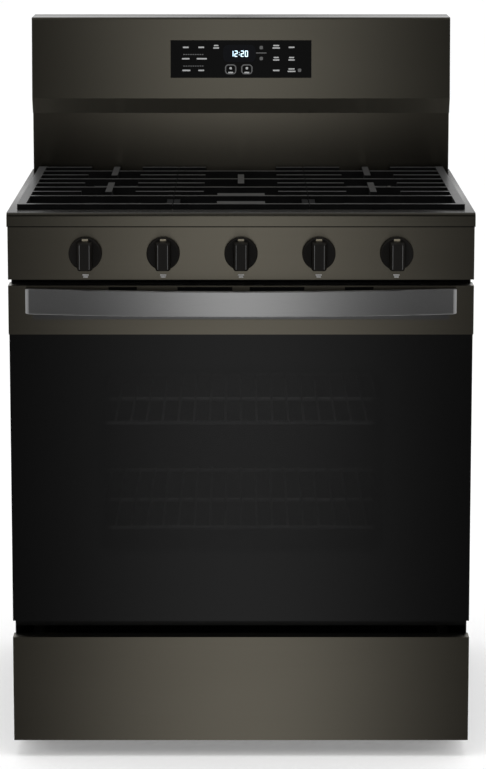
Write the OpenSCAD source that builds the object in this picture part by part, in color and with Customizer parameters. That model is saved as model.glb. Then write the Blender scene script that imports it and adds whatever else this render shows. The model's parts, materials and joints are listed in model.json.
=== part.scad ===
// Freestanding gas range: five burners, oven with a drop-down door, storage drawer.
// The floor is z = 0, the door faces -Y, and the origin is at the middle of the footprint.

/* [Overall size] */
// Width across the cooktop rim
range_w = 758.8; // [750:0.1:765]
// Height of the cooktop rim above the floor
rim_top = 914.4; // [910:0.1:918]
// Height of the top of the console
range_h = 1190.6; // [1185:0.1:1200]
// Depth from the rim's front face to the back
body_d = 660; // [655:1:665]
// How far the door handle stands out from the rim's front face
handle_reach = 45; // [42:0.5:50]

/* [Sheet metal] */
// Thickness of the outer panels
panel_t = 1.6; // [1.2:0.1:2.5]
// Thickness of the oven liner's walls
liner_t = 2; // [1.5:0.1:3]

/* [Door and drawer] */
// Lowest edge of the oven door
door_bottom = 234; // [232:1:236]
// Highest edge of the oven door
door_top = 795.5; // [790:0.5:798]
// Bottom of the brushed band above the glass
band_bottom = 715; // [700:1:725]
// Thickness of the door from its front face to its inner panel
door_t = 39.5; // [38:0.5:40]
// Width of the handle bar
handle_w = 698; // [660:1:700]
// Height of the handle bar's face
handle_h = 42; // [36:1:44]
// How far the handle bows outward at its middle
handle_bow = 29; // [20:1:30]
// Lowest edge of the drawer front
drawer_bottom = 29; // [25:1:32]
// Highest edge of the drawer front
drawer_top = 206; // [200:1:208]

/* [Cooktop] */
// Distance between neighbouring grate bars
bar_step = 55; // [54:0.5:56]
// Width of a grate bar
bar_w = 10; // [8:0.5:12]
// Height of a grate bar
bar_h = 12; // [10:0.5:13]
// Height of the grates' top above the floor
grate_top = 922; // [920:0.5:924]
// Distance between neighbouring knobs
knob_step = 126; // [120:1:128]
// Diameter of a knob's skirt
knob_d = 54; // [48:1:58]

/* [Hidden] */
$fn = 48;

half_w = range_w / 2;
back_y = (body_d + handle_reach) / 2;
front_y = back_y - body_d;
handle_y = -back_y;
eps = 0.01;

// Body shell
side_x = half_w - 3;
side_front_y = -262;
base_z = 28;
base_top = 44;
rim_bottom = 892;
panel_bottom = 805.5;
rear_y = back_y - 4.5;
foot_x = 350;
foot_ys = [-180, 310];

// Front frame and oven cavity
frame_y = -260;
cavity_x = 305;
cavity_bottom = 218;
cavity_top = 740;
cavity_back = 233;
opening_x = 300;
opening_bottom = 268;
opening_top = 735;
floor_z = 262;
level_step = 59.7;
first_level = 309.3;
level_count = 6;
rack_rest_levels = [1, 4];
rack_front_y = -217;
rack_mid_y = -27;
rack_back_y = 193;
rack_x = 288;
rack_rod_r = 3.5;
wire_r = 2;
wire_count = 22;

// Door, hinge and handle
door_x = 378;
glass_x = 376.8;
frame_x = door_x - panel_t - 0.5;
door_inner_y = front_y + door_t;
window_x = 255;
window_bottom = 330;
window_top = 680;
hinge_y = -278;
hinge_z = 243;
pin_r = 4;
running_gap = 0.05;
bracket_x = [338, 345];
arm_x = [347, 353];
pocket_x = [336, 359];
pocket_top = 400;
handle_z = 751;
handle_t = 12;
mount_x = [handle_w / 2 - 34, handle_w / 2 - 4];
handle_r = (pow(handle_w / 2, 2) + pow(handle_bow, 2)) / (2 * handle_bow);

// Drawer
drawer_x = 377.2;
box_x = 335;
box_bottom = 46;
box_top = 172;
box_back = 230;
rail_z = 110;

// Cooktop and burners
rim_depth = 50;
rim_side = 13;
deck_top = 896;
deck_wall_top = 908;
splash_y = front_y + 575;
first_bar = front_y + 155;
front_bar = front_y + 56;
bar_count = 8;
grate_back = first_bar + 7 * bar_step + bar_w;
grate_side_x = 366;
grate_split_x = 112.75;
grate_gap = 1.5;
rail_w = 14;
inner_rail_drop = 5;
pad_w = 79;
pad_d = 31;
burner_x = 224;
// x, y and cap radius of each burner: front left, rear left, centre, rear right, front right
front_burner_y = first_bar + 2 * bar_step;
rear_burner_y = first_bar + 6 * bar_step;
burners = [[-burner_x, front_burner_y, 41], [-burner_x, rear_burner_y, 36],
    [0, first_bar + 4 * bar_step, 30], [burner_x, rear_burner_y, 33],
    [burner_x, front_burner_y, 46]];
oval_reach = 48;
cap_bottom = 902;
riser_top = 868;
tube_z = 876;
tube_r = 4;

// Control panel and knobs
knob_z = 849;
knob_gap = 4;
knob_depth = 30;
skirt_t = 8;
grip_w = 22;
stem_y = [-333, -272];
valve_y = [-288, -246];
manifold_y = -236;
riser_y = -259;

// Console
splash_top = 1017;
console_rear = back_y - panel_t;
console_z = 1045;
console_out = 14;
console_lean = 10;
lean_angle = atan(console_lean / (range_h - console_z));
console_x = 378.5;
glass_size = [255, 3, 68];
glass_z = 1116;

// Gas and power connections
inlet_pos = [270, 318, 110];
inlet_r = 9.1;
cord_pos = [-290, 150];
cord_r = 11;

steel = "#4c4840";
black = "#161616";
iron = "#1b1b1b";
plated = "#b9bbbd";
enamel = "#23252a";

module block(lo, hi) translate(lo) cube(hi - lo);
module both_sides() { children(); mirror([1, 0, 0]) children(); }
module along_x(x0, x1) translate([x0, 0, 0]) rotate([90, 0, 90])
    linear_extrude(x1 - x0) children();
module rod_x(x0, x1, y, z, r) translate([x0, y, z]) rotate([0, 90, 0]) cylinder(r = r, h = x1 - x0);
module rod_y(x, y0, y1, z, r) translate([x, y0, z]) rotate([-90, 0, 0]) cylinder(r = r, h = y1 - y0);
module rod_z(x, y, z0, z1, r) translate([x, y, z0]) cylinder(r = r, h = z1 - z0);

// Frame standing in the XZ plane: outer and inner half widths, and heights
module ring_xz(outer_x, inner_x, y0, y1, z0, z1, inner_z0, inner_z1) difference() {
    block([-outer_x, y0, z0], [outer_x, y1, z1]);
    block([-inner_x, y0 - 1, inner_z0], [inner_x, y1 + 1, inner_z1]);
}

module side_panel() {
    block([side_x - panel_t, side_front_y, base_z], [side_x, rear_y, rim_bottom]);
    block([side_x - 20, rear_y - panel_t, base_z], [side_x, rear_y, rim_bottom]);
}
module side_panel_left() color(black) mirror([1, 0, 0]) side_panel();
module side_panel_right() color(black) side_panel();

module rear_cover() color(plated) difference() {
    union() {
        block([-side_x, rear_y, 60], [side_x, rear_y + panel_t, rim_bottom]);
        for (z = [300, 500, 700]) // stiffening ribs
            block([-300, rear_y, z], [300, back_y - 1, z + 12]);
    }
    block([inlet_pos.x - 40, back_y - 10, inlet_pos.z - 40],
        [inlet_pos.x + 40, back_y + 10, inlet_pos.z + 40]);
    rod_y(cord_pos[0], back_y - 10, back_y + 10, cord_pos[1], cord_r);
    for (i = [-6:6]) // cooling slots
        block([i * 40 - 12, back_y - 10, 830], [i * 40 + 12, back_y + 10, 836]);
}

// Four channels, open below; inset draws the space inside them
module base_channels(inset) {
    both_sides() block([340 + inset, -250 + inset, base_z - inset],
        [side_x - panel_t - inset, rear_y - panel_t - inset, base_top - inset]);
    for (y = [-250, back_y - 40]) block([-341 - inset, y + inset, base_z - inset],
        [341 + inset, y + 30 - inset, base_top - inset]);
}
module base_frame() color(plated) difference() {
    base_channels(0);
    base_channels(2);
}

module leveling_feet() color(black) both_sides() for (y = foot_ys) {
    rod_z(foot_x, y, 0, 9, 19);
    rod_z(foot_x, y, 9, 14, 9);
    rod_z(foot_x, y, 13, base_top - 2, 5);
}

module front_frame() color(enamel)
    ring_xz(side_x - panel_t, opening_x, frame_y, frame_y + 3, 212, panel_bottom - 2,
        opening_bottom, opening_top);

module oven_liner() color(enamel) difference() {
    block([-cavity_x - liner_t, frame_y + 3, cavity_bottom - liner_t],
        [cavity_x + liner_t, cavity_back + liner_t, cavity_top + liner_t]);
    block([-cavity_x, frame_y, cavity_bottom], [cavity_x, cavity_back, cavity_top]);
}

module oven_floor() color(enamel) {
    difference() {
        block([-cavity_x + 2, -252, floor_z], [cavity_x - 2, cavity_back - 2, floor_z + 2]);
        for (side = [-1, 1], i = [-4:4]) // flame slots
            block([side * 270 - 3, i * 45 - 15, floor_z - 1], [side * 270 + 3, i * 45 + 15, floor_z + 3]);
    }
    both_sides() block([cavity_x - 4, -252, cavity_bottom], [cavity_x - 2, cavity_back - 2, floor_z]);
}

// Ledges pressed out of the liner's side walls, which the racks slide along
module rack_guides() color(plated) both_sides() for (i = [0:level_count - 1])
    block([282, -225, first_level + i * level_step - rack_rod_r - 4],
        [cavity_x, 205, first_level + i * level_step - rack_rod_r]);

module door_gasket() color("#3a3a3a")
    ring_xz(318, 308, frame_y - 7.2, frame_y, 258, 750, 267, 741);

module bake_burner() color(plated) {
    rod_y(0, -170, cavity_back, 238, 13);
    for (y = [-120, 0, 120]) rod_x(-170, 170, y, 238, 9);
}

module broil_burner() color(plated) {
    rod_y(0, -190, cavity_back, 718, 11);
    block([-90, -190, 722], [90, 150, 725]);
    both_sides() block([84, -190, 722], [88, 150, cavity_top]);
}

module temperature_probe() color(plated) {
    rod_y(-180, 90, cavity_back, 690, 2.5);
    block([-195, cavity_back - 2, 680], [-165, cavity_back, 700]);
}

module oven_lamp() color("#e8e2d0") {
    rod_y(200, cavity_back - 22, cavity_back, 660, 27);
    rod_y(200, cavity_back - 30, cavity_back - 21, 660, 20);
}

module insulation() color("#c9b458") {
    both_sides() block([cavity_x + 5, -255, 215], [cavity_x + 20, 250, 760]);
    block([-cavity_x - 5, -255, 746], [cavity_x + 5, 250, 760]);
    block([-cavity_x - 5, 238, 215], [cavity_x + 5, 250, 746]);
}

module cooktop_deck() color(enamel) difference() {
    union() {
        block([-half_w + rim_side, front_y + rim_depth, deck_top - panel_t],
            [half_w - rim_side, splash_y - 1, deck_top]);
        both_sides() block([half_w - rim_side - panel_t, front_y + rim_depth, deck_top - panel_t],
            [half_w - rim_side, splash_y - 1, deck_wall_top]);
        block([-half_w + rim_side, front_y + rim_depth, deck_top - panel_t],
            [half_w - rim_side, front_y + rim_depth + panel_t, deck_wall_top]);
    }
    for (b = burners) rod_z(b.x, b.y, deck_top - 5, deck_top + 5, 12);
}

// The rim is folded sheet: a rounded front lip and two side rails
module rim_profile() difference() {
    union() {
        translate([front_y + 8, rim_bottom]) square([rim_depth - 8, rim_top - rim_bottom]);
        translate([front_y, rim_bottom]) square([10, rim_top - rim_bottom - 8]);
        translate([front_y + 8, rim_top - 8]) circle(8);
    }
    translate([front_y + 3, rim_bottom - 1]) square([rim_depth - 6, rim_top - rim_bottom - 8]);
}
module cooktop_rim() color(steel) {
    along_x(-half_w, half_w) rim_profile();
    both_sides() {
        difference() {
            block([half_w - rim_side, front_y + rim_depth - eps, rim_bottom],
                [half_w, splash_y - 1, rim_top]);
            block([half_w - rim_side + 2, front_y + rim_depth + 2, rim_bottom - 1],
                [half_w - 2, splash_y - 3, rim_top - 2]);
        }
        block([half_w - 2, front_y + 3, rim_bottom], [half_w, front_y + rim_depth, rim_top - 10]);
    }
}

module control_panel() color(steel) difference() {
    block([-door_x, front_y, panel_bottom], [door_x, side_front_y - 0.5, rim_bottom]);
    block([-door_x + panel_t, front_y + panel_t, panel_bottom + panel_t],
        [door_x - panel_t, side_front_y + 5, rim_bottom - panel_t]);
    for (i = [-2:2]) rod_y(i * knob_step, front_y - 5, front_y + 5, knob_z, 7);
}

module backsplash() color(steel) {
    block([-door_x, splash_y, rim_bottom], [door_x, splash_y + panel_t, splash_top]);
    both_sides() block([door_x - panel_t, splash_y, rim_bottom + 10], [door_x, console_rear - 1, splash_top]);
}

module console_outline(inset) polygon([
    [splash_y + inset, splash_top + inset], [splash_y - console_out + inset, console_z + inset / 2],
    [splash_y - console_out + console_lean + inset, range_h - 3 - inset],
    [splash_y - console_out + console_lean + 3 + inset, range_h - inset],
    [console_rear, range_h - inset], [console_rear, splash_top + inset]]);
module console_shell() color(steel) difference() {
    along_x(-console_x, console_x) console_outline(0);
    along_x(-console_x + panel_t, console_x - panel_t) union() {
        console_outline(panel_t);
        translate([back_y - 10, splash_top + panel_t]) square([20, range_h - splash_top - 2 * panel_t]);
    }
    on_console() block([-60, -2, -25], [60, 8, 25]);
}

// Places children on the leaning console face, at the middle of the touch glass
module on_console() translate([0, splash_y - console_out
    + console_lean * (glass_z - console_z) / (range_h - console_z), glass_z])
    rotate([-lean_angle, 0, 0]) children();

module console_back() color(black)
    block([-console_x + 4, console_rear, rim_bottom], [console_x - 4, back_y, range_h - 3]);

module touch_glass() color(black) on_console()
    block([-glass_size.x / 2, -1.2, -glass_size.z / 2], [glass_size.x / 2, 0, glass_size.z / 2]);

module display_module() color("#0d1a2a") on_console() block([-45, 0, -15], [45, 12, 20]);

module control_board() color("#1d5c36") {
    block([-110, 300, 1070], [110, 302, 1165]);
    for (x = [-80, -30, 30]) block([x, 286, 1085], [x + 26, 300, 1110]);
    rod_y(80, 278, 300, 1130, 12);
    both_sides() for (z = [1078, 1157]) rod_y(100, 302, console_rear, z, 3);
}

module gas_manifold() color(plated) {
    rod_x(-300, 320, manifold_y, knob_z, 10);
    rod_y(320, manifold_y, 300, knob_z, 8);
    translate([320, manifold_y, knob_z]) sphere(r = 10);
    rod_z(320, 300, inlet_pos.z, knob_z, 8);
    rod_x(312, 320, 300, inlet_pos.z, 8);
    for (z = [inlet_pos.z, knob_z]) translate([320, 300, z]) sphere(r = 8);
}

module burner_valves() color("#b08d57") for (i = [-2:2]) translate([i * knob_step, 0, 0])
    difference() {
        union() {
            block([-14, valve_y[0], knob_z - 14], [14, valve_y[1], knob_z + 14]);
            rod_z(0, riser_y, knob_z + 13, riser_top, 6);
        }
        rod_y(0, valve_y[0] - 1, valve_y[1] - 18, knob_z, pin_r + running_gap);
    }

module burner_tubes() color(plated) for (i = [0:4]) {
    start_x = (i - 2) * knob_step;
    b = burners[i];
    rod_z(start_x, riser_y, riser_top, tube_z, tube_r);
    rod_y(start_x, riser_y, b.y, tube_z, tube_r);
    rod_x(min(start_x, b.x), max(start_x, b.x) + eps, b.y, tube_z, tube_r);
    for (p = [[start_x, riser_y], [start_x, b.y], [b.x, b.y]])
        translate([p.x, p.y, tube_z]) sphere(r = tube_r);
}

module gas_regulator() color("#8d8f92") difference() {
    union() {
        rod_y(inlet_pos.x, 285, 305, inlet_pos.z, 30);
        rod_y(inlet_pos.x, 300, 344, inlet_pos.z, 15);
        rod_x(inlet_pos.x, 312, 300, inlet_pos.z, 12);
        rod_y(inlet_pos.x, 272, 286, inlet_pos.z, 12);
    }
    rod_y(inlet_pos.x, 322, 345, inlet_pos.z, inlet_r);
}

// A burner's round or oval outline, grown by a margin
module burner_shape(i, grow) {
    r = burners[i][2] + grow;
    if (i == 2) {
        for (s = [-1, 1]) translate([0, s * oval_reach]) circle(r);
        square([2 * r, 2 * oval_reach], center = true);
    } else circle(r);
}
module burner_bases() color("#8a8c8e") for (i = [0:4])
    translate([burners[i].x, burners[i].y, 0]) {
        translate([0, 0, deck_top]) linear_extrude(3) burner_shape(i, 4);
        translate([0, 0, deck_top]) linear_extrude(cap_bottom - deck_top) burner_shape(i, -5);
        rod_z(0, 0, tube_z + tube_r, deck_top, 10);
    }
module burner_caps() color(black) for (i = [0:4])
    translate([burners[i].x, burners[i].y, cap_bottom]) {
        linear_extrude(5) burner_shape(i, 0);
        linear_extrude(7) burner_shape(i, -3);
    }
module spark_electrodes() color("white") for (b = burners) {
    rod_z(b.x + b[2] + 8.5, b.y, deck_top, deck_top + 7, 3);
    rod_z(b.x + b[2] + 8.5, b.y, deck_top + 7, deck_top + 11, 1.2);
}

// A grate's inner rails lie lower than its bars
function rail_top(rail) = rail > bar_w ? grate_top : grate_top - inner_rail_drop;

// A grate's frame and bars between two rails; gap_x is the middle of the burner zone
module grate(x0, x1, gap_x, gap_half, cross_rows, left_rail, right_rail) {
    z0 = grate_top - bar_h;
    block([x0, front_bar - 5, z0], [x0 + left_rail, grate_back, rail_top(left_rail)]);
    block([x1 - right_rail, front_bar - 5, z0], [x1, grate_back, rail_top(right_rail)]);
    block([x0, front_bar - 5, z0], [x1, front_bar + 5, grate_top]);
    for (i = [0:bar_count - 1]) {
        y = first_bar + i * bar_step;
        if (i % 2 == 0) block([x0, y - bar_w / 2, z0], [x1, y + bar_w / 2, grate_top]);
        else {
            block([x0, y - bar_w / 2, z0], [gap_x - gap_half, y + bar_w / 2, grate_top]);
            block([gap_x + gap_half, y - bar_w / 2, z0], [x1, y + bar_w / 2, grate_top]);
        }
    }
    for (i = cross_rows) block([gap_x - 5.5, first_bar + i * bar_step - 62, z0],
        [gap_x + 5.5, first_bar + i * bar_step + 62, grate_top]);
    for (x = [x0 + 3, x1 - 11], y = [front_bar - 1, first_bar + 3 * bar_step - 4, grate_back - 9])
        block([x, y, deck_top], [x + 8, y + 8, z0 + 1]);
}
module grate_left() color(iron)
    grate(-grate_side_x, -grate_split_x, -burner_x, 46, [2, 6], rail_w, bar_w);
module grate_right() color(iron) mirror([1, 0, 0])
    grate(-grate_side_x, -grate_split_x, -burner_x, 46, [2, 6], rail_w, bar_w);
module grate_center() color(iron) {
    x = grate_split_x - grate_gap;
    grate(-x, x, 0, 63, [4], bar_w, bar_w);
    for (y = [front_bar, first_bar]) // the two broad pads of the middle grate
        block([-pad_w / 2, y - bar_w / 2, grate_top - bar_h], [pad_w / 2, y + pad_d, grate_top]);
}

module rack() {
    both_sides() rod_y(rack_x, rack_front_y, rack_back_y, 0, rack_rod_r);
    for (y = [rack_front_y, rack_mid_y, rack_back_y]) rod_x(-rack_x, rack_x, y, 0, rack_rod_r);
    for (i = [1:wire_count - 1])
        rod_y(-rack_x + i * 2 * rack_x / wire_count, rack_front_y, rack_back_y, rack_rod_r + 1, wire_r);
    both_sides() for (y = [rack_front_y, rack_back_y]) translate([rack_x, y, 0]) sphere(r = rack_rod_r);
}
module rack_upper() color(plated)
    translate([0, 0, first_level + rack_rest_levels[1] * level_step + 0.2]) rack();
module rack_lower() color(plated)
    translate([0, 0, first_level + rack_rest_levels[0] * level_step + 0.2]) rack();

module drawer_rails() color(plated) both_sides() {
    block([346, -250, rail_z - 14], [349, 270, rail_z + 14]);
    block([349, -250, rail_z - 14], [side_x - panel_t, 270, rail_z - 11]);
}

module hinge_brackets() color(plated) both_sides() {
    block([bracket_x[0], hinge_y, hinge_z - 5], [bracket_x[1], frame_y, hinge_z + 5]);
    rod_x(bracket_x[0], bracket_x[1], hinge_y, hinge_z, 6);
    rod_x(bracket_x[0], arm_x[1] + 3, hinge_y, hinge_z, pin_r);
}

module door_band() color(steel) difference() {
    block([-door_x, front_y, band_bottom], [door_x, door_inner_y - 4, door_top]);
    block([-door_x + panel_t, front_y + panel_t, band_bottom - 1],
        [door_x - panel_t, door_inner_y, door_top - panel_t]);
}

module door_glass() color(black)
    block([-glass_x, front_y, door_bottom], [glass_x, front_y + 3.5, band_bottom]);

// Folded frame behind the glass, open to the rear, with pockets for the hinge arms
module door_frame() color(black) difference() {
    ring_xz(frame_x, window_x, front_y + 3.5, door_inner_y - panel_t, door_bottom + 2,
        door_top - panel_t - 0.5, window_bottom, window_top);
    ring_xz(frame_x - panel_t, window_x + panel_t, front_y + 3.5 + panel_t, door_inner_y + 1,
        door_bottom + 2 + panel_t, door_top - 2 * panel_t - 0.5, window_bottom - panel_t,
        window_top + panel_t);
    both_sides() block([pocket_x[0], -290, door_bottom - 5], [pocket_x[1], -265, pocket_top]);
}

module door_inner_panel() color(enamel)
    ring_xz(frame_x - 3, window_x - 15, door_inner_y - panel_t, door_inner_y, 254, 780,
        window_bottom + 15, window_top - 15);

module door_inner_glass() color("#20242a")
    block([-window_x + 15, door_inner_y - 4, window_bottom + 15], [window_x - 15, door_inner_y - 0.5,
        window_top - 15]);

module door_handle() color("#8b8b89") translate([0, 0, handle_z]) linear_extrude(handle_h)
    intersection() {
        translate([0, handle_y + handle_r]) difference() {
            circle(handle_r, $fn = 720);
            circle(handle_r - handle_t, $fn = 720);
        }
        translate([-handle_w / 2, handle_y - 5]) square([handle_w, 60]);
    }

// Depth of the handle's rear face at a distance x from its middle
function handle_rear(x) = handle_y + handle_r - sqrt(pow(handle_r - handle_t, 2) - x * x);
module handle_mounts() color("#5d5b56") both_sides()
    translate([0, 0, handle_z + 3]) linear_extrude(handle_h - 6) polygon([
        [mount_x[0], front_y], [mount_x[0], handle_rear(mount_x[0])],
        [mount_x[1], handle_rear(mount_x[1])], [mount_x[1], front_y]]);

module door_hinge_arms() color(plated) both_sides() difference() {
    block([arm_x[0], -290, door_bottom + 2], [arm_x[1], door_inner_y - 4.5, pocket_top - 5]);
    rod_x(arm_x[0] - 1, arm_x[1] + 1, hinge_y, hinge_z, pin_r + running_gap);
}

module drawer_front() color(steel) difference() {
    block([-drawer_x, front_y, drawer_bottom], [drawer_x, front_y + 26, drawer_top]);
    block([-drawer_x + panel_t, front_y + panel_t, drawer_bottom + panel_t],
        [drawer_x - panel_t, front_y + 30, drawer_top - panel_t]);
}

module drawer_box() color(black) difference() {
    block([-box_x, front_y + 26, box_bottom], [box_x, box_back, box_top]);
    block([-box_x + 2, front_y + 28, box_bottom + 2], [box_x - 2, box_back - 2, box_top + 2]);
}

module drawer_runners() color(plated) both_sides()
    block([box_x, front_y + 40, rail_z - 9], [box_x + 8, box_back - 10, rail_z + 9]);

module valve_stem(i) color(plated) rod_y((i - 3) * knob_step, stem_y[0], stem_y[1], knob_z, pin_r);
module valve_stem_1() valve_stem(1);
module valve_stem_2() valve_stem(2);
module valve_stem_3() valve_stem(3);
module valve_stem_4() valve_stem(4);
module valve_stem_5() valve_stem(5);

module knob(i) color(black) translate([(i - 3) * knob_step, front_y - knob_gap, knob_z])
    rotate([90, 0, 0]) difference() {
        union() {
            cylinder(d = knob_d, h = skirt_t);
            intersection() {
                cylinder(d = knob_d - 4, h = knob_depth);
                translate([-grip_w / 2, -knob_d / 2, 0]) cube([grip_w, knob_d, knob_depth]);
            }
        }
        translate([0, 0, -1]) cylinder(r = pin_r + running_gap, h = 1.5 + front_y - knob_gap - stem_y[0]);
    }
module knob_1() knob(1);
module knob_2() knob(2);
module knob_3() knob(3);
module knob_4() knob(4);
module knob_5() knob(5);

side_panel_left();
side_panel_right();
rear_cover();
base_frame();
leveling_feet();
front_frame();
oven_liner();
oven_floor();
rack_guides();
door_gasket();
bake_burner();
broil_burner();
temperature_probe();
oven_lamp();
insulation();
cooktop_deck();
cooktop_rim();
control_panel();
backsplash();
console_shell();
console_back();
touch_glass();
display_module();
control_board();
gas_manifold();
burner_valves();
burner_tubes();
gas_regulator();
burner_bases();
burner_caps();
spark_electrodes();
drawer_rails();
hinge_brackets();
door_band();
door_glass();
door_frame();
door_inner_panel();
door_inner_glass();
door_handle();
handle_mounts();
door_hinge_arms();
drawer_front();
drawer_box();
drawer_runners();
grate_left();
grate_center();
grate_right();
rack_upper();
rack_lower();
valve_stem_1();
valve_stem_2();
valve_stem_3();
valve_stem_4();
valve_stem_5();
knob_1();
knob_2();
knob_3();
knob_4();
knob_5();
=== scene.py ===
import json
import math
import bmesh
import bpy
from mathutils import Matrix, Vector


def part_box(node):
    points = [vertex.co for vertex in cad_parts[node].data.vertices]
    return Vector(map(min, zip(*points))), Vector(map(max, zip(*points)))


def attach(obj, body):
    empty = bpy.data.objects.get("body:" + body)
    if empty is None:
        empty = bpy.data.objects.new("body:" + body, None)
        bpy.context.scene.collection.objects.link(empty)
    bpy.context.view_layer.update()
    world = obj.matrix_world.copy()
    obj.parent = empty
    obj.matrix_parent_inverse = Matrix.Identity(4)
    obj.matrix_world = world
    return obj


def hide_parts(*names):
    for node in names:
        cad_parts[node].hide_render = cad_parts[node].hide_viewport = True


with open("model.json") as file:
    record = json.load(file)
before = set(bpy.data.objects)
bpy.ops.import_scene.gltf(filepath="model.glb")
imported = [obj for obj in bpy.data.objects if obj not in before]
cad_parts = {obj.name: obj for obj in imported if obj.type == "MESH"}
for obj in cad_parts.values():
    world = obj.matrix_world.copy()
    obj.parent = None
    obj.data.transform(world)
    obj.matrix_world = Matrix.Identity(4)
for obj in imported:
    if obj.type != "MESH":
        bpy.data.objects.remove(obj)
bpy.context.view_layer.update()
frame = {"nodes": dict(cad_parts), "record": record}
nodes = frame["nodes"]
print("frame loaded:", len(nodes), "nodes")


# Camera
view = {"distance": 4.361, "height": 1.532, "tilt": 8.43, "lens": 127.6, "shiftX": 0.0026,
        "shiftY": -0.2, "sensor": 36.0, "farthest": 200}


def makeCamera():
    data = bpy.data.cameras.new("viewCamera")
    data.sensor_width, data.lens = view["sensor"], view["lens"]
    data.shift_x, data.shift_y = view["shiftX"], view["shiftY"]
    data.clip_end = view["farthest"]
    camera = bpy.data.objects.new("viewCamera", data)
    camera.location = (0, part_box("cooktop_rim")[0][1] - view["distance"], view["height"])
    camera.rotation_euler = (math.radians(90 - view["tilt"]), 0, 0)
    bpy.context.scene.collection.objects.link(camera)
    bpy.context.scene.camera = camera


makeCamera()
print("camera placed")


# Shader helper: wraps one socket, so that materials read as arithmetic
class Wire:
    def __init__(self, tree, socket=None):
        self.tree, self.socket = tree, socket

    def add(self, kind, settings=None, sockets=None):  # any node: settings first, then its sockets
        made = self.tree.nodes.new(kind)
        for name, value in (settings or {}).items():
            setattr(made, name, value)
        for key, value in (sockets or {}).items():
            if isinstance(value, Wire):
                self.tree.links.new(value.socket, made.inputs[key])
            else:
                made.inputs[key].default_value = value
        return made

    def out(self, made, name=0):
        return Wire(self.tree, made.outputs[name])

    def calc(self, operation, *terms):
        return self.out(self.add("ShaderNodeMath", {"operation": operation}, dict(enumerate(terms))))

    def __add__(self, other):
        return self.calc("ADD", self, other)

    def __radd__(self, other):
        return self.calc("ADD", other, self)

    def __sub__(self, other):
        return self.calc("SUBTRACT", self, other)

    def __rsub__(self, other):
        return self.calc("SUBTRACT", other, self)

    def __mul__(self, other):
        return self.calc("MULTIPLY", self, other)

    def __rmul__(self, other):
        return self.calc("MULTIPLY", other, self)

    def __truediv__(self, other):
        return self.calc("DIVIDE", self, other)

    def size(self):
        return self.calc("ABSOLUTE", self)

    def wave(self):
        return self.calc("SINE", self)

    def bell(self, middle, width):  # 1 at the middle, fading on both sides
        away = (self - middle) / width
        return self.calc("EXPONENT", 0 - away * away)

    def step(self, low, high):  # 0 below low, 1 above high, smooth between
        made = self.add("ShaderNodeMapRange", {"interpolation_type": "SMOOTHSTEP"},
                        {"Value": self, "From Min": low, "From Max": high})
        return self.out(made)

    def upward(self):  # 1 on faces that look up
        made = self.add("ShaderNodeNewGeometry")
        return self.out(self.add("ShaderNodeSeparateXYZ", None, {0: self.out(made, "Normal")}), 2)

    def place(self):
        return self.out(self.add("ShaderNodeTexCoord"), "Object")

    def axes(self):
        made = self.add("ShaderNodeSeparateXYZ", None, {0: self})
        return [self.out(made, i) for i in range(3)]

    def noise(self, scale, detail=2.0, rough=0.5):  # scale: cycles per metre along x, y, z
        scaled = self.add("ShaderNodeVectorMath", {"operation": "MULTIPLY"}, {0: self, 1: scale})
        made = self.add("ShaderNodeTexNoise", None, {"Vector": self.out(scaled), "Scale": 1.0,
                                                      "Detail": detail, "Roughness": rough})
        return self.out(made)

    def blend(self, dark, light):  # self is the factor between two colours
        made = self.add("ShaderNodeMix", {"data_type": "RGBA"}, {0: self, 6: dark, 7: light})
        return self.out(made, 2)

    def bump(self, depth):
        made = self.add("ShaderNodeBump", None, {"Strength": 1.0, "Distance": depth, "Height": self})
        return self.out(made)

    def feed(self, shader, socket):
        self.tree.links.new(self.socket, shader.inputs[socket])


def tone(red, green, blue):
    return (red, green, blue, 1.0)


def grey(value):
    return tone(value, value, value)


def startFinish(name, fixed):
    material = bpy.data.materials.new(name)
    material.use_nodes = True
    tree = material.node_tree
    shader = tree.nodes["Principled BSDF"]
    for socket, value in fixed.items():
        shader.inputs[socket].default_value = value
    return material, shader, Wire(tree)


# Brushed sheet: fine lines along x over slow cloudy changes of tone, with an optional painted shade on
# faces that look up and towards the foot, and painted light on faces that look down
brushed = {"lineStretch": (5.0, 1500.0, 1500.0), "cloudScale": (1.6, 2.0, 3.5), "turn": 0.25,
           "contrast": (0.3, 0.7), "topFrom": (0.6, 0.95), "underFrom": (0.2, 0.45), "underPaintedLight": 0.22,
           "lineDepth": 0.000004, "roughSpan": 0.06}


def brushedMetal(name, dark, light, roughness, anisotropy=0.9, topPaintedShade=1.0, fade=None):
    material, shader, start = startFinish(name, {"Anisotropic": anisotropy,
                                                 "Anisotropic Rotation": brushed["turn"]})
    at = start.place()
    lines = at.noise(brushed["lineStretch"], 3.0)
    clouds = at.noise(brushed["cloudScale"], 2.0)
    grain = (lines * 0.5 + clouds * 0.5).step(*brushed["contrast"])
    # Painted shade: darker copies of both tones for faces that look up
    paintedShadeTones = [tone(*(v * topPaintedShade for v in edge[:3])) for edge in (dark, light)]
    top = start.upward().step(*brushed["topFrom"])
    color = top.blend(grain.blend(dark, light), grain.blend(*paintedShadeTones))
    if fade:  # painted shade, darker towards its foot
        footShadeMask = 1 - at.axes()[2].step(fade["low"], fade["high"])
        color = (footShadeMask * fade["share"]).blend(color, grey(0))
    color.feed(shader, "Base Color")
    # Painted light: faces that look down are made less metallic, so their base colour shows lit by the
    # room
    under = (0 - start.upward()).step(*brushed["underFrom"])
    (1 - under * brushed["underPaintedLight"]).feed(shader, "Metallic")
    (lines * brushed["roughSpan"] + (roughness - brushed["roughSpan"] / 2)).feed(shader, "Roughness")
    lines.bump(brushed["lineDepth"]).feed(shader, "Normal")
    return material


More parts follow.
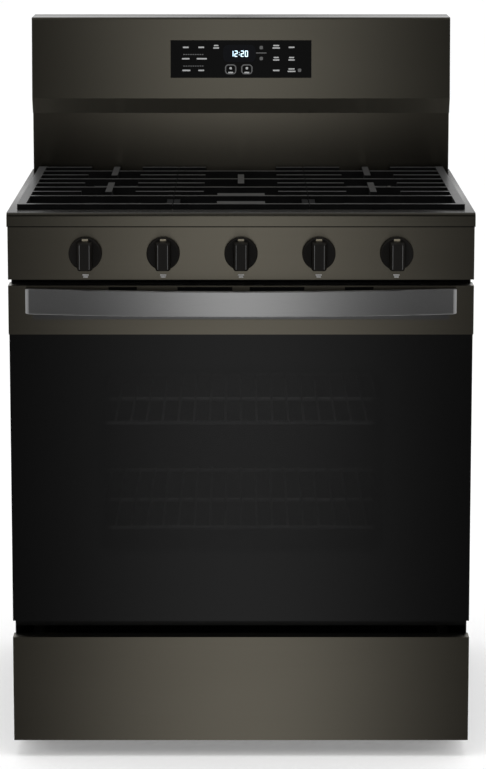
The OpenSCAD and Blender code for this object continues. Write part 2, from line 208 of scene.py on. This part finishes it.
# Cast iron: nearly black, with a painted highlight making the tops at the highest level lighter, and
# glossier tops there
iron = {"gloss": 0.2, "gritScale": (900, 900, 900), "wearScale": (35, 35, 35), "topFrom": (0.5, 0.95),
        "levelFrom": 0.004, "levelTo": 0.003, "side": (grey(0.001), grey(0.003)),
        "top": (grey(0.036), grey(0.044)), "sideRough": 0.9, "topPolish": 0.62, "gritDepth": 0.00002}


def castIron(name):
    material, shader, start = startFinish(name, {"Specular IOR Level": iron["gloss"]})
    at = start.place()
    grit = at.noise(iron["gritScale"], 3.0, 0.6)
    wear = at.noise(iron["wearScale"], 3.0)
    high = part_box("grate_left")[1][2]
    level = at.axes()[2].step(high - iron["levelFrom"], high - iron["levelTo"])
    top = start.upward().step(*iron["topFrom"]) * level
    cloudy = (grit * 0.3 + wear * 0.7).step(0.2, 0.8)
    # Painted highlight: the top faces of the highest level take the lighter tone
    dark, light = [top.blend(side, litTopTone) for side, litTopTone in zip(iron["side"], iron["top"])]
    cloudy.blend(dark, light).feed(shader, "Base Color")
    (iron["sideRough"] - top * iron["topPolish"] + wear * 0.06).feed(shader, "Roughness")
    grit.bump(iron["gritDepth"]).feed(shader, "Normal")
    return material


# Enamel: a slight orange peel with sparse pale specks
glaze = {"peelScale": (160, 160, 160), "speckScale": (1400, 1400, 1400), "speckFrom": (0.62, 0.72),
         "roughSpan": 0.12, "peelDepth": 0.00006}


def enamel(name, dark, light, roughness, gloss=0.3):
    material, shader, start = startFinish(name, {"Specular IOR Level": gloss})
    at = start.place()
    peel = at.noise(glaze["peelScale"], 2.0)
    speck = at.noise(glaze["speckScale"], 1.0)
    speck.step(*glaze["speckFrom"]).blend(dark, light).feed(shader, "Base Color")
    (peel * glaze["roughSpan"] + (roughness - glaze["roughSpan"] / 2)).feed(shader, "Roughness")
    peel.bump(glaze["peelDepth"]).feed(shader, "Normal")
    return material


# Paint and plastic: a fine crinkle under a little settled dust
coating = {"crinkleScale": (700, 700, 700), "dustScale": (6, 6, 6), "roughSpan": 0.2}


def paint(name, dark, light, roughness, depth=0.00015, gloss=0.45):
    material, shader, start = startFinish(name, {"Specular IOR Level": gloss})
    at = start.place()
    crinkle = at.noise(coating["crinkleScale"], 3.0, 0.6)
    dust = at.noise(coating["dustScale"], 4.0)
    (crinkle * 0.6 + dust * 0.4).blend(dark, light).feed(shader, "Base Color")
    (crinkle * coating["roughSpan"] + (roughness - coating["roughSpan"] / 2)).feed(shader, "Roughness")
    crinkle.bump(depth).feed(shader, "Normal")
    return material


# Plated or cast metal: a cloudy spangle
spangled = {"roughSpan": 0.16, "pitScale": (800, 800, 800), "pitDepth": 0.00002}


def plainMetal(name, dark, light, roughness, scale=(60, 60, 60)):
    material, shader, start = startFinish(name, {"Metallic": 1.0})
    at = start.place()
    spangle = at.noise(scale, 4.0, 0.6)
    spangle.blend(dark, light).feed(shader, "Base Color")
    (spangle * spangled["roughSpan"] + (roughness - spangled["roughSpan"] / 2)).feed(shader, "Roughness")
    at.noise(spangled["pitScale"], 2.0).bump(spangled["pitDepth"]).feed(shader, "Normal")
    return material


# Black door glass with a clearer window in its middle, over the inner glass
paneGlass = {"edge": 0.03, "clear": 0.5, "gloss": 0.22, "coat": 0.6, "coatIOR": 1.31,
             "coatRough": 0.07}


def doorPane(name):
    material, shader, start = startFinish(name, {"Base Color": grey(0.0015),
                                                 "Specular IOR Level": paneGlass["gloss"],
                                                 "Coat IOR": paneGlass["coatIOR"],
                                                 "Coat Roughness": paneGlass["coatRough"]})
    x, y, z = start.place().axes()
    smear = start.place().noise((3, 3, 7), 3.0)
    low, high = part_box("door_inner_glass")
    across = 1 - x.size().step(high[0] - paneGlass["edge"], high[0])
    up = z.step(low[2], low[2] + paneGlass["edge"])
    down = 1 - z.step(high[2] - paneGlass["edge"], high[2])
    solid = 1 - across * up * down * paneGlass["clear"]
    solid.feed(shader, "Alpha")
    # The coat keeps the reflection even over the window
    ((1 - solid) / solid * paneGlass["coat"]).feed(shader, "Coat Weight")
    (smear * 0.05 + 0.045).feed(shader, "Roughness")
    return material


def smoked(name, alpha, color, gloss=0.5):
    material, shader, start = startFinish(name, {"Base Color": color, "Alpha": alpha,
                                                 "Specular IOR Level": gloss})
    (start.place().noise((8, 8, 8), 3.0) * 0.06 + 0.03).feed(shader, "Roughness")
    return material


# Rope and wool: crossing strands with fuzz
cloth = {"sheen": 0.3, "strandScale": 2600, "fuzzScale": (500, 500, 500), "depth": 0.0006}


def woven(name, dark, light):
    material, shader, start = startFinish(name, {"Sheen Weight": cloth["sheen"]})
    at = start.place()
    x, y, z = at.axes()
    strands = ((x + z) * cloth["strandScale"]).wave() * 0.5 + 0.5
    fuzz = at.noise(cloth["fuzzScale"], 3.0)
    (strands * 0.5 + fuzz * 0.5).blend(dark, light).feed(shader, "Base Color")
    (fuzz * 0.2 + 0.7).feed(shader, "Roughness")
    (strands * 0.6 + fuzz * 0.4).bump(cloth["depth"]).feed(shader, "Normal")
    return material


def glow(name, color, strength):
    material, shader, start = startFinish(name, {"Base Color": grey(0.004), "Specular IOR Level": 0.1,
                                                 "Emission Strength": strength})
    flicker = start.place().noise((400, 400, 400), 1.0)
    (flicker * 0.2 + 0.8).blend(grey(0), color).feed(shader, "Emission Color")
    (flicker * 0.1 + 0.3).feed(shader, "Roughness")
    return material


finishes = {
    "black_stainless": brushedMetal("blackStainless", tone(0.128, 0.117, 0.093),
                                    tone(0.148, 0.136, 0.109), 0.24),
    "handle_steel": brushedMetal("handleSteel", grey(0.46), grey(0.51), 0.30, 0.0),
    "black_paint": paint("blackPaint", grey(0.008), grey(0.018), 0.5),
    "plated_steel": plainMetal("platedSteel", grey(0.42), tone(0.62, 0.62, 0.61), 0.32),
    "black_enamel": enamel("blackEnamel", grey(0.0015), grey(0.006), 0.22),
    "black_plastic": paint("blackPlastic", grey(0.005), grey(0.010), 0.42, 0.00004, 0.2),
    "dark_glass": smoked("darkGlass", 1.0, grey(0.002), 0.06),
    "seal_rope": woven("sealRope", grey(0.02), grey(0.09)),
    "lamp_glass": smoked("lampGlass", 0.8, tone(0.8, 0.76, 0.66)),
    "glass_wool": woven("glassWool", tone(0.5, 0.42, 0.16), tone(0.8, 0.72, 0.42)),
    "circuit_board": paint("circuitBoard", tone(0.01, 0.09, 0.04), tone(0.03, 0.18, 0.08), 0.4),
    "valve_brass": plainMetal("valveBrass", tone(0.5, 0.34, 0.12), tone(0.72, 0.52, 0.24), 0.28),
    "cast_aluminium": plainMetal("castAluminium", grey(0.34), grey(0.5), 0.45, (300, 300, 300)),
    "ceramic": paint("ceramic", tone(0.7, 0.68, 0.62), tone(0.86, 0.84, 0.8), 0.25, 0.00002),
    "cast_grate": castIron("castGrate"),
}
paneFinish = doorPane("doorPane")
innerPane = smoked("innerPane", 0.15, grey(0.002), 0.1)
markFinish = paint("printedMark", grey(0.35), grey(0.46), 0.5, 0.00001, 0.1)
dimMark = paint("dimMark", grey(0.09), grey(0.13), 0.5, 0.00001, 0.1)
knobFinish = paint("knobPlastic", tone(0.0045, 0.004, 0.0035), tone(0.008, 0.007, 0.006), 0.42,
                   0.00004, 0.12)
# Pale finish for painted highlights on the knob blades
knobHighlight = paint("knobHighlight", grey(0.075), grey(0.10), 0.3, 0.00001, 0.5)
# Rim and console tops carry a painted shade, darker than the front faces
rimFinish = brushedMetal("rimSteel", tone(0.122, 0.113, 0.090), tone(0.142, 0.132, 0.106), 0.24,
                         topPaintedShade=0.16)
# Painted shade on the backsplash, darker towards its foot
splashFootShade = {"low": 0.90, "high": 1.05, "share": 0.55}
splashFinish = brushedMetal("splashSteel", tone(0.128, 0.117, 0.093), tone(0.148, 0.136, 0.109), 0.24,
                            fade=splashFootShade)
pointerMark = paint("pointerMark", tone(0.20, 0.175, 0.12), tone(0.26, 0.23, 0.17), 0.5, 0.00001)
# Near-black finish for painted shade
paintedShadeFinish = paint("paintedShadeBlack", grey(0.001), grey(0.002), 0.8, 0.00001, 0.05)
backRail = brushedMetal("handleBackRail", grey(0.115), grey(0.135), 0.26)
digitGlow = glow("digitGlow", tone(0.62, 0.86, 1.0), 2.4)
screenGlow = glow("screenGlow", tone(0.02, 0.08, 0.3), 0.006)
print("finishes made:", len(bpy.data.materials))


# Every CAD node gets its slot's finish and softly rounded edges
rounding = {"usual": 0.0006, "sharpest": 35, "cooktop_rim": 0.0015, "control_panel": 0.0012,
            "door_band": 0.0015, "drawer_front": 0.002, "console_shell": 0.002, "grate_left": 0.0018,
            "grate_center": 0.0018, "grate_right": 0.0018, "burner_caps": 0.0015,
            "burner_bases": 0.001, "backsplash": 0.0008}


def roundEdges(piece, width, segments=2):
    bevel = piece.modifiers.new("rounding", "BEVEL")
    bevel.width, bevel.segments = width, segments
    bevel.limit_method, bevel.angle_limit = "ANGLE", math.radians(rounding["sharpest"])


def dressNodes():
    for entry in frame["record"]["subparts"]:
        node = nodes[entry["node"]]
        node.data.materials.clear()
        node.data.materials.append(finishes[entry["material_slot"]])
        roundEdges(node, rounding.get(entry["node"], rounding["usual"]))
    nodes["door_glass"].data.materials[0] = paneFinish
    nodes["door_inner_glass"].data.materials[0] = innerPane
    nodes["cooktop_rim"].data.materials[0] = rimFinish
    nodes["console_shell"].data.materials[0] = rimFinish
    nodes["backsplash"].data.materials[0] = splashFinish


dressNodes()
print("nodes dressed")


# Mesh helpers
def linkPiece(name, mesh, finish, body):
    piece = bpy.data.objects.new(name, mesh)
    bpy.context.scene.collection.objects.link(piece)
    piece.data.materials.append(finish)
    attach(piece, body)
    return piece


def finishMesh(build, name, sharp=30):
    bmesh.ops.remove_doubles(build, verts=build.verts, dist=1e-6)
    bmesh.ops.recalc_face_normals(build, faces=build.faces)
    mesh = bpy.data.meshes.new(name)
    build.to_mesh(mesh)
    build.free()
    mesh.shade_smooth()
    mesh.set_sharp_from_angle(angle=math.radians(sharp))
    return mesh


def addBlock(build, low, high):
    made = bmesh.ops.create_cube(build, size=1.0)["verts"]
    middle = [(a + b) / 2 for a, b in zip(low, high)]
    span = [b - a for a, b in zip(low, high)]
    for vert in made:
        vert.co = Vector([m + c * s for m, c, s in zip(middle, vert.co, span)])


def roundedOutline(width, height, corner, steps=6):
    points = []
    for sx, sy, first in ((1, 1, 0), (-1, 1, 90), (-1, -1, 180), (1, -1, 270)):
        for i in range(steps + 1):
            a = math.radians(first + 90 * i / steps)
            points.append((sx * (width / 2 - corner) + corner * math.cos(a),
                           sy * (height / 2 - corner) + corner * math.sin(a)))
    return points


def addLoft(build, rings, capStart=True, capEnd=True):
    loops = [[build.verts.new(point) for point in ring] for ring in rings]
    count = len(loops[0])
    for low, high in zip(loops, loops[1:]):
        for i in range(count):
            build.faces.new((low[i], low[(i + 1) % count], high[(i + 1) % count], high[i]))
    if capStart:
        build.faces.new(loops[0][::-1])
    if capEnd:
        build.faces.new(loops[-1])


def middleOf(node):
    low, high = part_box(node)
    return [(a + b) / 2 for a, b in zip(low, high)]


# Knobs: a shallow dished skirt and a tapered blade across it
knob = {"skirt": 0.027, "skirtFront": 0.0252, "skirtDepth": 0.008, "depth": 0.030, "lip": 0.0012,
        "bladeWide": 0.0265, "bladeTall": 0.0460, "bladeDrop": 0.0022, "corner": 0.0030,
        "markWide": 0.0098, "markTall": 0.0034, "markRise": 0.0212, "sides": 64,
        "highlightAt": 0.0078, "highlightWide": 0.0009, "highlightTall": 0.0395,
        "bladeRings": ((0.12, 1.0, 1.0), (0.5, 0.95, 1.0), (0.82, 0.86, 0.99),
                       (0.86, 0.84, 0.985), (0.98, 0.62, 0.95), (1.0, 0.58, 0.94))}


def makeSkirt(build, x, back, z):  # rings of (radius, depth) from the back to the dished middle
    profile = [(knob["skirt"] - knob["lip"], 0), (knob["skirt"], knob["lip"]),
               (knob["skirt"], knob["skirtDepth"] * 0.45),
               (knob["skirtFront"] + knob["lip"], knob["skirtDepth"] * 0.8),
               (knob["skirtFront"], knob["skirtDepth"]),
               (knob["skirtFront"] * 0.9, knob["skirtDepth"] * 0.96),
               (knob["skirtFront"] * 0.5, knob["skirtDepth"] * 0.8)]
    turns = [2 * math.pi * i / knob["sides"] for i in range(knob["sides"])]
    addLoft(build, [[(x + r * math.cos(a), back - d, z + r * math.sin(a)) for a in turns]
                    for r, d in profile])


def makeBlade(build, x, back, z):  # rings of (depth, width, height) shares of the whole blade
    rings = []
    for share, wide, tall in knob["bladeRings"]:
        outline = roundedOutline(knob["bladeWide"] * wide, knob["bladeTall"] * tall, knob["corner"])
        rings.append([(x + u, back - knob["depth"] * share, z - knob["bladeDrop"] + v)
                      for u, v in outline])
    addLoft(build, rings)


def makeKnob(number):
    name = f"knob_{number}"
    low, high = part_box(name)
    x, back, z = (low[0] + high[0]) / 2, high[1], (low[2] + high[2]) / 2
    build = bmesh.new()
    makeSkirt(build, x, back, z)
    makeBlade(build, x, back, z)
    piece = linkPiece(name + "_shape", finishMesh(build, name), knobFinish, name)
    roundEdges(piece, 0.0004)
    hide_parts(name)
    build = bmesh.new()
    foot = z + knob["markRise"]
    addBlock(build, (x - knob["markWide"] / 2, back - knob["skirtDepth"] - 0.0003, foot),
             (x + knob["markWide"] / 2, back - knob["skirtDepth"] * 0.8, foot + knob["markTall"]))
    pointer = linkPiece(name + "_pointer", finishMesh(build, name), pointerMark, name)
    roundEdges(pointer, 0.0002)
    # Painted highlights: two thin pale strips down the blade's front edges
    build = bmesh.new()
    middle, wide, tall = z - knob["bladeDrop"], knob["highlightWide"] / 2, knob["highlightTall"] / 2
    for side in (-1, 1):
        across = x + side * knob["highlightAt"]
        addBlock(build, (across - wide, back - knob["depth"], middle - tall),
                 (across + wide, back - knob["depth"] * 0.97, middle + tall))
    highlight_strips = linkPiece(name + "_ridges", finishMesh(build, name), knobHighlight, name)
    roundEdges(highlight_strips, 0.0003)


for number in range(1, 6):
    makeKnob(number)
print("knobs made")


# Two short printed dashes under each knob
knobLabel = {"wide": 0.0100, "tall": 0.0020, "gap": 0.0012, "drop": 0.0375, "raise": 0.0002}


def makeKnobLabels():
    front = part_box("control_panel")[0][1]
    build = bmesh.new()
    for number in range(1, 6):
        x, _, z = middleOf(f"knob_{number}")
        for row, share in ((0.5, 1.0), (-0.5, 0.75)):
            half = knobLabel["wide"] * share / 2
            middle = z - knobLabel["drop"] + row * (knobLabel["tall"] + knobLabel["gap"])
            addBlock(build, (x - half, front - knobLabel["raise"], middle - knobLabel["tall"] / 2),
                     (x + half, front + knobLabel["raise"], middle + knobLabel["tall"] / 2))
    linkPiece("knob_labels", finishMesh(build, "knobLabels"), markFinish, "root")


makeKnobLabels()


# Door handle: a bowed bar with sloped ends, over a straight rail on the door
handle = {"bow": 0.029, "thick": 0.010, "corner": 0.0022, "slope": 0.0052, "endLean": 0.30,
          "stations": 48, "railWide": 0.676, "railDrop": 0.0105, "railRise": 0.004, "railThick": 0.004}


def makeHandle():
    low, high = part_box("door_handle")
    half, tall = (high[0] - low[0]) / 2, high[2] - low[2]
    bow = handle["bow"]
    radius = (half * half + bow * bow) / (2 * bow)
    inner = half - handle["slope"]
    turns = [math.pi * (i / handle["stations"] - 0.5) for i in range(handle["stations"] + 1)]
    xs = [-half, *(inner * math.sin(turn) for turn in turns), half]
    rings = []
    for x in xs:
        front = low[1] + radius - math.sqrt(radius * radius - x * x)
        cut = handle["slope"] if abs(x) > inner + 1e-6 else 0
        back = cut * handle["endLean"]
        thick = handle["thick"] - back
        outline = roundedOutline(thick, tall - back, min(handle["corner"], thick * 0.4), 4)
        rings.append([(x, front + back + thick / 2 + a, middleOf("door_handle")[2] + b)
                      for a, b in outline])
    build = bmesh.new()
    addLoft(build, rings)
    piece = linkPiece("handle_bar", finishMesh(build, "handleBar"), finishes["handle_steel"], "door")
    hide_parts("door_handle")
    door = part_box("door_band")[0][1]
    build = bmesh.new()
    addBlock(build, (-handle["railWide"] / 2, door - handle["railThick"], low[2] - handle["railDrop"]),
             (handle["railWide"] / 2, door + 0.0005, low[2] + handle["railRise"]))
    rail = linkPiece("handle_back_rail", finishMesh(build, "handleRail"), backRail, "door")
    roundEdges(rail, 0.0008)


makeHandle()


# Painted shadow: a dark strip under the cooktop rim, standing for the shaded groove between rim and
# panel
rimShadowGap = {"tall": 0.0016, "raise": 0.0003}


def makeRimShadowGap():
    low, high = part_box("control_panel")
    build = bmesh.new()
    addBlock(build, (low[0], low[1] - rimShadowGap["raise"], high[2] - rimShadowGap["tall"] / 2),
             (high[0], low[1] + 0.001, high[2] + rimShadowGap["tall"] / 2))
    linkPiece("rim_shadow_gap", finishMesh(build, "rimShadowGap"), paintedShadeFinish, "root")


makeRimShadowGap()


# Painted shade: dark patches along the top of the door band, partly behind the handle, standing for the
# shaded band there
bandShade = {"spans": ((0.014, 0.103), (0.169, 0.215)), "top": 0.0022, "tall": 0.008}


def makeDoorBandShade():
    low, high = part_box("door_band")
    build = bmesh.new()
    for near, far in bandShade["spans"]:
        for left, right in ((near, far), (-far, -near)):
            addBlock(build, (left, low[1] - 0.0003, high[2] - bandShade["top"] - bandShade["tall"]),
                     (right, low[1] + 0.0005, high[2] - bandShade["top"]))
    linkPiece("door_band_shade", finishMesh(build, "doorBandShade"), paintedShadeFinish, "door")


makeDoorBandShade()
print("handle made")


# Rear cover: hex screws, a blank rating plate and a grommet in the cord hole
rear = {"rows": (0.10, 0.37, 0.57, 0.77), "edge": 0.012, "topRow": (-0.30, -0.10, 0.10, 0.30),
        "topDrop": 0.014, "round": 0.0042, "high": 0.0016, "sheet": 0.0016, "lift": 0.0004,
        "plate": (-0.27, 0.56, 0.11, 0.07), "ringAt": (-0.290, 0.150), "ringRound": 0.0150,
        "ringHole": 0.0112}


def addTurned(build, x, z, rings, sides, hollow=False):  # rings of (radius, y) about a line along y
    turns = [2 * math.pi * i / sides for i in range(sides)]
    loops = [[(x + r * math.cos(a), y, z + r * math.sin(a)) for a in turns] for r, y in rings]
    addLoft(build, loops + loops[:1] if hollow else loops, not hollow, not hollow)


def makeRearDetails():
    low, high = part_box("rear_cover")
    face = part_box("side_panel_left")[1][1] + rear["sheet"]
    build = bmesh.new()
    spots = [(side * (high[0] - rear["edge"]), z) for side in (-1, 1) for z in rear["rows"]]
    spots += [(x, high[2] - rear["topDrop"]) for x in rear["topRow"]]
    for x, z in spots:
        r, top = rear["round"], face + rear["high"]
        addTurned(build, x, z, [(r * 1.4, face - rear["lift"]), (r * 1.4, face + rear["lift"])], 24)
        addTurned(build, x, z, [(r, face), (r, top - rear["lift"]), (r * 0.8, top)], 6)
    linkPiece("rear_screws", finishMesh(build, "rearScrews"), finishes["cast_aluminium"], "root")
    build = bmesh.new()
    x, z, wide, tall = rear["plate"]
    addBlock(build, (x - wide / 2, face - rear["lift"], z - tall / 2),
             (x + wide / 2, face + rear["lift"], z + tall / 2))
    linkPiece("rating_plate", finishMesh(build, "ratingPlate"), markFinish, "root")
    build = bmesh.new()
    inner, outer = rear["ringHole"], rear["ringRound"]
    rings = [(inner, face - rear["sheet"]), (outer, face), (outer, face + rear["high"] / 2),
             (inner, face + rear["high"])]
    addTurned(build, *rear["ringAt"], rings, 40, True)
    linkPiece("cord_ring", finishMesh(build, "cordRing"), finishes["black_plastic"], "root")


makeRearDetails()
print("rear details made")


# Touch panel: marks laid on the leaning glass, in metres from its middle (u across, v up)
panel = {"lean": math.radians(3.93), "markTall": 0.0026, "twoLineGap": 0.0044, "thick": 0.00025,
         "screen": (-0.003, 0.0102, 0.059, 0.031), "digitTall": 0.0112, "digitWide": 0.0056,
         "digitStroke": 0.0014, "digitStep": 0.0075, "keyWide": 0.0205, "keyTall": 0.0180}


def panelPlace():
    low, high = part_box("touch_glass")
    up = Vector((0, math.sin(panel["lean"]), math.cos(panel["lean"])))
    out = Vector((0, -math.cos(panel["lean"]), math.sin(panel["lean"])))
    middle = Vector((0, low[1], low[2])) + up * ((high[2] - low[2]) / 2 / math.cos(panel["lean"]))
    return middle, up, out


def addPlate(build, place, u, v, wide, tall, lift=0.0):
    middle, up, out = place
    outline = roundedOutline(wide, tall, min(wide, tall) * 0.3, 3)
    rings = [[middle + Vector((u + a, 0, 0)) + up * (v + b) + out * w for a, b in outline]
             for w in (lift - 0.0001, lift + panel["thick"])]
    addLoft(build, rings)


def addKeyRing(build, place, u, v, wide, tall, stroke, corner):
    middle, up, out = place
    rings = []
    for inset, w in ((0, 0), (0, panel["thick"]), (stroke, panel["thick"]), (stroke, 0)):
        outline = roundedOutline(wide - 2 * inset, tall - 2 * inset, max(corner - inset, 0.0005))
        rings.append([middle + Vector((u + a, 0, 0)) + up * (v + b) + out * w for a, b in outline])
    addLoft(build, rings + [rings[0]], False, False)


def makePanelMarks():
    place = panelPlace()
    build = bmesh.new()
    tall = panel["markTall"]
    for u, v, wide in ((-0.100, 0.0212, 0.0105), (-0.072, 0.0212, 0.0105), (-0.100, 0.0006, 0.0135),
                       (-0.071, 0.0006, 0.0185), (-0.099, -0.0205, 0.0145), (-0.072, -0.0205, 0.0105),
                       (0.0915, 0.0212, 0.0105), (0.0637, -0.0205, 0.0120)):
        addPlate(build, place, u, v, wide, tall)
    for u, v, wide in ((-0.045, 0.0222, 0.0105), (0.0637, 0.0222, 0.0135), (0.0637, 0.0006, 0.0115),
                       (0.0915, 0.0006, 0.0115), (0.0915, -0.0200, 0.0140)):
        addPlate(build, place, u, v + panel["twoLineGap"] / 2, wide * 0.8, tall * 0.9)
        addPlate(build, place, u, v - panel["twoLineGap"] / 2, wide, tall * 0.9)
    linkPiece("panel_marks", finishMesh(build, "panelMarks"), markFinish, "root")
    build = bmesh.new()
    for v in (0.0083, -0.0126):
        for i in range(9):
            addPlate(build, place, -0.103 + i * 0.0042, v, 0.0030, 0.0016)
    for u, v in ((0.0367, 0.0208), (0.0367, 0.0010), (0.1060, -0.0202)):
        addPlate(build, place, u, v, 0.0062, 0.0062)
    addPlate(build, place, 0.0367, 0.0110, 0.0190, 0.0018)
    for u in (-0.0187, 0.0106):
        addKeyRing(build, place, u, -0.0185, panel["keyWide"], panel["keyTall"], 0.0021, 0.0062)
    linkPiece("panel_dim_marks", finishMesh(build, "dimMarks"), dimMark, "root")
    build = bmesh.new()
    for u in (-0.0187, 0.0106):
        addPlate(build, place, u, -0.0165, 0.0042, 0.0042)
        addPlate(build, place, u, -0.0246, 0.0090, 0.0030)
    linkPiece("key_marks", finishMesh(build, "keyMarks"), markFinish, "root")
    build = bmesh.new()
    addPlate(build, place, *panel["screen"])
    linkPiece("screen", finishMesh(build, "screen"), screenGlow, "root")


segments = {"top": (0, 1, 0), "middle": (0, 0, 0), "bottom": (0, -1, 0), "upperLeft": (-1, 0.5, 1),
            "upperRight": (1, 0.5, 1), "lowerLeft": (-1, -0.5, 1), "lowerRight": (1, -0.5, 1)}
lit = {"1": ("upperRight", "lowerRight"),
       "2": ("top", "upperRight", "middle", "lowerLeft", "bottom"),
       "0": ("top", "upperLeft", "upperRight", "lowerLeft", "lowerRight", "bottom")}


def makeDigits():
    place = panelPlace()
    build = bmesh.new()
    wide, tall, stroke = panel["digitWide"], panel["digitTall"], panel["digitStroke"]
    u = panel["screen"][0] - panel["digitStep"] * 1.8
    v = panel["screen"][1] - 0.0005
    for sign in "12:20":
        if sign == ":":
            for side in (-1, 1):
                addPlate(build, place, u - panel["digitStep"] * 0.22, v + side * tall * 0.18,
                         stroke, stroke, panel["thick"])
            u += panel["digitStep"] * 0.5
            continue
        for part in lit[sign]:
            a, b, upright = segments[part]
            length = tall / 2 - stroke * 0.3 if upright else wide - stroke * 0.6
            size = (stroke, length) if upright else (length, stroke)
            addPlate(build, place, u + a * (wide - stroke) / 2, v + b * (tall - stroke) / 2, *size,
                     panel["thick"])
        u += panel["digitStep"]
    linkPiece("clock_digits", finishMesh(build, "digits"), digitGlow, "root")


makePanelMarks()
makeDigits()
print("touch panel made")


# Studio: white for the eye, dark with soft bright walls for the metal to mirror, and a soft front card
studio = {"floorSize": 60, "floorTone": 0.86, "floorGlow": 0.16, "room": 1.0, "behind": 0.85,
          "front": 0.03, "sideStrip": 0.60, "sideAt": 0.80, "sideWidth": 0.20, "turnLow": -0.30,
          "turnHigh": 0.30}
card = {"away": 1.85, "wide": 2.6, "low": -1.7, "high": 2.5, "peak": 0.84, "spread": 0.375, "fade": 0.5}


def makeRoom():
    world = bpy.data.worlds.new("studioRoom")
    bpy.context.scene.world = world
    world.use_nodes = True
    world.cycles.sampling_method = "NONE"
    tree = world.node_tree
    start = Wire(tree)
    ground = tree.nodes["Background"]
    x, y, z = start.out(start.add("ShaderNodeTexCoord"), "Generated").axes()
    behind = y.step(studio["turnLow"], studio["turnHigh"])  # 0 in front of the range, 1 behind it
    sides = x.size().bell(studio["sideAt"], studio["sideWidth"]) * studio["sideStrip"]
    mirrored = (sides + studio["front"]) * (1 - behind) + behind * studio["behind"]
    glossy = start.out(start.add("ShaderNodeLightPath"), "Is Glossy Ray")
    (mirrored * glossy + (1 - glossy) * studio["room"]).feed(ground, "Strength")
    ground.inputs["Color"].default_value = grey(1)


def makeFloor():
    bpy.ops.mesh.primitive_plane_add(size=studio["floorSize"])
    floor = bpy.context.object
    floor.name = "studio_floor"
    finish = paint("floorPaint", grey(studio["floorTone"]), grey(0.9), 0.9)
    shader = finish.node_tree.nodes["Principled BSDF"]
    shader.inputs["Emission Color"].default_value = grey(1)
    shader.inputs["Emission Strength"].default_value = studio["floorGlow"]
    floor.data.materials.append(finish)
    floor.visible_glossy = False


def cardGlow():
    material = bpy.data.materials.new("cardGlow")
    material.use_nodes = True
    tree = material.node_tree
    tree.nodes.remove(tree.nodes["Principled BSDF"])
    start = Wire(tree)
    x, y, z = start.place().axes()
    low = z.step(card["low"], card["low"] + card["fade"])
    high = 1 - z.step(card["high"] - card["fade"], card["high"])
    strength = x.bell(0, card["spread"]) * low * high * card["peak"]
    light = start.add("ShaderNodeEmission", None, {"Strength": strength})
    clear = start.add("ShaderNodeBsdfTransparent")
    both = start.add("ShaderNodeAddShader", None, {0: start.out(light), 1: start.out(clear)})
    start.out(both).feed(tree.nodes["Material Output"], "Surface")
    return material


def makeCard():
    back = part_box("door_band")[0][1] - card["away"]
    half = card["wide"] / 2
    build = bmesh.new()
    corners = ((-half, card["low"]), (half, card["low"]), (half, card["high"]), (-half, card["high"]))
    build.faces.new([build.verts.new((x, back, z)) for x, z in corners])
    piece = bpy.data.objects.new("front_card", finishMesh(build, "frontCard"))
    bpy.context.scene.collection.objects.link(piece)
    piece.data.materials.append(cardGlow())
    piece.visible_camera = piece.visible_shadow = piece.visible_diffuse = False


def makeLight(name, where, aim, width, height, power, mirrored=False):
    data = bpy.data.lights.new(name, "AREA")
    data.shape, data.size, data.size_y, data.energy = "RECTANGLE", width, height, power
    light = bpy.data.objects.new(name, data)
    light.location = where
    light.rotation_euler = (Vector(aim) - Vector(where)).to_track_quat("-Z", "Y").to_euler()
    light.visible_glossy = mirrored
    bpy.context.scene.collection.objects.link(light)


makeRoom()
makeFloor()
makeCard()
makeLight("overhead", (0, -0.6, 3.2), (0, 0, 0.9), 2.4, 1.6, 30)
makeLight("ovenLamp", (0, 0.0, 0.700), (0, -0.10, 0.30), 0.42, 0.12, 0.05, True)
bpy.context.scene.view_settings.view_transform = "Standard"
print("studio lit")
